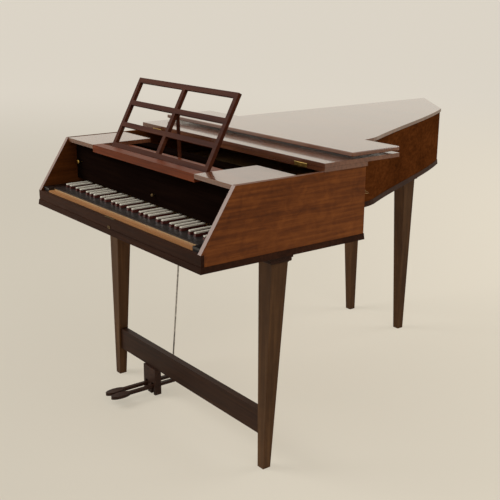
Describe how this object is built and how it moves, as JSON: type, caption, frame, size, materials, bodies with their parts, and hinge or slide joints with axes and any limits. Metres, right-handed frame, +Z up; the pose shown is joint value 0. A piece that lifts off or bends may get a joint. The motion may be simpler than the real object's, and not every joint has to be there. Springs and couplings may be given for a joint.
{
  "type": "harpsichord",
  "caption": "Wing-shaped plucked-string keyboard instrument with reversed key colours, folded-back lid flaps, a raised music desk, pedals and four tapered legs.",
  "frame": {"origin": "middle of the bounding box in plan, on the floor", "axes": "+Z up, the keyboard faces -Y, the tail points to +Y, the cheek and bent side are at +X"},
  "size_m": [0.9356, 1.8112, 1.0412],
  "materials": {
    "polished_mahogany": "French polished",
    "dark_mahogany": "French polished, dark",
    "lid_mahogany": "French polished, glossy",
    "brass": "polished",
    "steel": "drawn wire",
    "ebony": "oiled ebony",
    "bone": "bone-topped limewood",
    "pine": "planed softwood"
  },
  "bodies": {
    "case": {"base_moulding": "dark_mahogany", "belly_rail": "pine", "bentside": "polished_mahogany", "bottom_board": "pine", "bridge": "dark_mahogany", "cheek": "polished_mahogany", "deck_block_left": "polished_mahogany", "deck_block_right": "polished_mahogany", "desk_tray": "polished_mahogany", "escutcheon": "brass", "front_rail": "dark_mahogany", "jack_rail": "dark_mahogany", "key_block_left": "ebony", "key_block_right": "ebony", "key_frame": "pine", "key_slip": "pine", "leg_front_left": "polished_mahogany", "leg_front_right": "polished_mahogany", "leg_rear_left": "polished_mahogany", "leg_rear_right": "polished_mahogany", "lid_hinge": "brass", "lock_plate": "brass", "nameboard": "dark_mahogany", "nameboard_knob": "brass", "pedal_block": "dark_mahogany", "soundboard": "pine", "spine": "polished_mahogany", "stretcher": "polished_mahogany", "tail": "polished_mahogany", "wrest_plank": "pine"},
    "lid": {"main_lid": "lid_mahogany", "flap_hinge_left": "brass", "flap_hinge_right": "brass"},
    "flap": {"front_flap": "lid_mahogany"},
    "lower_flap": {"slope_flap": "lid_mahogany"},
    "desk": {"music_desk": "dark_mahogany"},
    "strut": {"desk_strut": "dark_mahogany"},
    "stop": {"hand_stop": "brass"},
    "register": {"jack_slide": "pine"},
    "pedal_l": {"pedal_left": "dark_mahogany"},
    "pedal_r": {"pedal_right": "dark_mahogany"},
    "trap_l": {"rod_left": "steel"},
    "trap_r": {"rod_right": "steel"},
    "key_c1_lever": {"key_c1": "ebony"},
    "key_c1s_lever": {"key_c1s": "bone"},
    "key_d1_lever": {"key_d1": "ebony"},
    "key_d1s_lever": {"key_d1s": "bone"},
    "key_e1_lever": {"key_e1": "ebony"},
    "key_f1_lever": {"key_f1": "ebony"},
    "key_f1s_lever": {"key_f1s": "bone"},
    "key_g1_lever": {"key_g1": "ebony"},
    "key_g1s_lever": {"key_g1s": "bone"},
    "key_a1_lever": {"key_a1": "ebony"},
    "key_a1s_lever": {"key_a1s": "bone"},
    "key_b1_lever": {"key_b1": "ebony"},
    "key_c2_lever": {"key_c2": "ebony"},
    "key_c2s_lever": {"key_c2s": "bone"},
    "key_d2_lever": {"key_d2": "ebony"},
    "key_d2s_lever": {"key_d2s": "bone"},
    "key_e2_lever": {"key_e2": "ebony"}
  },
  "joints": [
    {"name": "lid_open", "type": "hinge", "parent": "case", "child": "lid", "pos_m": [-0.4652, -0.5074, 0.8438], "axis": [0, -1, 0], "range_deg": [0, 65]},
    {"name": "flap_turn", "type": "hinge", "parent": "lid", "child": "flap", "pos_m": [0.00275, -0.5091, 0.85555], "axis": [1, 0, 0], "range_deg": [0, 88]},
    {"name": "lower_flap_turn", "type": "hinge", "parent": "flap", "child": "lower_flap", "pos_m": [0.00275, -0.22695, 0.87075], "axis": [-1, 0, 0], "range_deg": [0, 180]},
    {"name": "desk_fold", "type": "hinge", "parent": "case", "child": "desk", "pos_m": [0.00275, -0.7381, 0.8375], "axis": [-1, 0, 0], "range_deg": [0, 61.9]},
    {"name": "strut_swing", "type": "hinge", "parent": "desk", "child": "strut", "pos_m": [0.00275, -0.6649, 0.95485], "axis": [1, 0, 0], "range_deg": [0, 149.8]},
    {"name": "hand_stop_slide", "type": "slide", "parent": "case", "child": "stop", "axis": [1, 0, 0], "range_m": [0, 0.01]},
    {"name": "register_slide", "type": "slide", "parent": "case", "child": "register", "axis": [1, 0, 0], "range_m": [0, 0.003]},
    {"name": "pedal_press_l", "type": "hinge", "parent": "case", "child": "pedal_l", "pos_m": [-0.21225, -0.6551, 0.033], "axis": [1, 0, 0], "range_deg": [0, 7], "stiffness_Nm_per_rad": 6, "springref_deg": -8.59},
    {"name": "trap_rise_l", "type": "slide", "parent": "case", "child": "trap_l", "axis": [0, 0.0837, 0.9965], "range_m": [0, 0.0115]},
    {"name": "pedal_press_r", "type": "hinge", "parent": "case", "child": "pedal_r", "pos_m": [-0.17625, -0.6551, 0.033], "axis": [1, 0, 0], "range_deg": [0, 7], "stiffness_Nm_per_rad": 6, "springref_deg": -8.59},
    {"name": "trap_rise_r", "type": "slide", "parent": "case", "child": "trap_r", "axis": [0, 0.0837, 0.9965], "range_m": [0, 0.0115]},
    {"name": "key_c1_press", "type": "hinge", "parent": "case", "child": "key_c1_lever", "pos_m": [-0.00864, -0.6771, 0.681], "axis": [1, 0, 0], "range_deg": [0, 2.1], "stiffness_Nm_per_rad": 1, "springref_deg": -6.88},
    {"name": "key_c1s_press", "type": "hinge", "parent": "case", "child": "key_c1s_lever", "pos_m": [0.00095, -0.6771, 0.681], "axis": [1, 0, 0], "range_deg": [0, 2.1], "stiffness_Nm_per_rad": 1, "springref_deg": -6.88},
    {"name": "key_d1_press", "type": "hinge", "parent": "case", "child": "key_d1_lever", "pos_m": [0.01414, -0.6771, 0.681], "axis": [1, 0, 0], "range_deg": [0, 2.1], "stiffness_Nm_per_rad": 1, "springref_deg": -6.88},
    {"name": "key_d1s_press", "type": "hinge", "parent": "case", "child": "key_d1s_lever", "pos_m": [0.02734, -0.6771, 0.681], "axis": [1, 0, 0], "range_deg": [0, 2.1], "stiffness_Nm_per_rad": 1, "springref_deg": -6.88},
    {"name": "key_e1_press", "type": "hinge", "parent": "case", "child": "key_e1_lever", "pos_m": [0.03693, -0.6771, 0.681], "axis": [1, 0, 0], "range_deg": [0, 2.1], "stiffness_Nm_per_rad": 1, "springref_deg": -6.88},
    {"name": "key_f1_press", "type": "hinge", "parent": "case", "child": "key_f1_lever", "pos_m": [0.05971, -0.6771, 0.681], "axis": [1, 0, 0], "range_deg": [0, 2.1], "stiffness_Nm_per_rad": 1, "springref_deg": -6.88},
    {"name": "key_f1s_press", "type": "hinge", "parent": "case", "child": "key_f1s_lever", "pos_m": [0.06891, -0.6771, 0.681], "axis": [1, 0, 0], "range_deg": [0, 2.1], "stiffness_Nm_per_rad": 1, "springref_deg": -6.88},
    {"name": "key_g1_press", "type": "hinge", "parent": "case", "child": "key_g1_lever", "pos_m": [0.0825, -0.6771, 0.681], "axis": [1, 0, 0], "range_deg": [0, 2.1], "stiffness_Nm_per_rad": 1, "springref_deg": -6.88},
    {"name": "key_g1s_press", "type": "hinge", "parent": "case", "child": "key_g1s_lever", "pos_m": [0.09389, -0.6771, 0.681], "axis": [1, 0, 0], "range_deg": [0, 2.1], "stiffness_Nm_per_rad": 1, "springref_deg": -6.88},
    {"name": "key_a1_press", "type": "hinge", "parent": "case", "child": "key_a1_lever", "pos_m": [0.10529, -0.6771, 0.681], "axis": [1, 0, 0], "range_deg": [0, 2.1], "stiffness_Nm_per_rad": 1, "springref_deg": -6.88},
    {"name": "key_a1s_press", "type": "hinge", "parent": "case", "child": "key_a1s_lever", "pos_m": [0.11848, -0.6771, 0.681], "axis": [1, 0, 0], "range_deg": [0, 2.1], "stiffness_Nm_per_rad": 1, "springref_deg": -6.88},
    {"name": "key_b1_press", "type": "hinge", "parent": "case", "child": "key_b1_lever", "pos_m": [0.12807, -0.6771, 0.681], "axis": [1, 0, 0], "range_deg": [0, 2.1], "stiffness_Nm_per_rad": 1, "springref_deg": -6.88},
    {"name": "key_c2_press", "type": "hinge", "parent": "case", "child": "key_c2_lever", "pos_m": [0.15086, -0.6771, 0.681], "axis": [1, 0, 0], "range_deg": [0, 2.1], "stiffness_Nm_per_rad": 1, "springref_deg": -6.88},
    {"name": "key_c2s_press", "type": "hinge", "parent": "case", "child": "key_c2s_lever", "pos_m": [0.16045, -0.6771, 0.681], "axis": [1, 0, 0], "range_deg": [0, 2.1], "stiffness_Nm_per_rad": 1, "springref_deg": -6.88},
    {"name": "key_d2_press", "type": "hinge", "parent": "case", "child": "key_d2_lever", "pos_m": [0.17364, -0.6771, 0.681], "axis": [1, 0, 0], "range_deg": [0, 2.1], "stiffness_Nm_per_rad": 1, "springref_deg": -6.88},
    {"name": "key_d2s_press", "type": "hinge", "parent": "case", "child": "key_d2s_lever", "pos_m": [0.18684, -0.6771, 0.681], "axis": [1, 0, 0], "range_deg": [0, 2.1], "stiffness_Nm_per_rad": 1, "springref_deg": -6.88},
    {"name": "key_e2_press", "type": "hinge", "parent": "case", "child": "key_e2_lever", "pos_m": [0.19643, -0.6771, 0.681], "axis": [1, 0, 0], "range_deg": [0, 2.1], "stiffness_Nm_per_rad": 1, "springref_deg": -6.88}
  ],
  "couplings": [
    {"joint": "strut_swing", "follows": "desk_fold", "ratio": 2.42},
    {"joint": "register_slide", "follows": "hand_stop_slide", "ratio": 0.3},
    {"joint": "trap_rise_l", "follows": "pedal_press_l", "m_per_rad": 0.0905},
    {"joint": "trap_rise_r", "follows": "pedal_press_r", "m_per_rad": 0.0675}
  ]
}
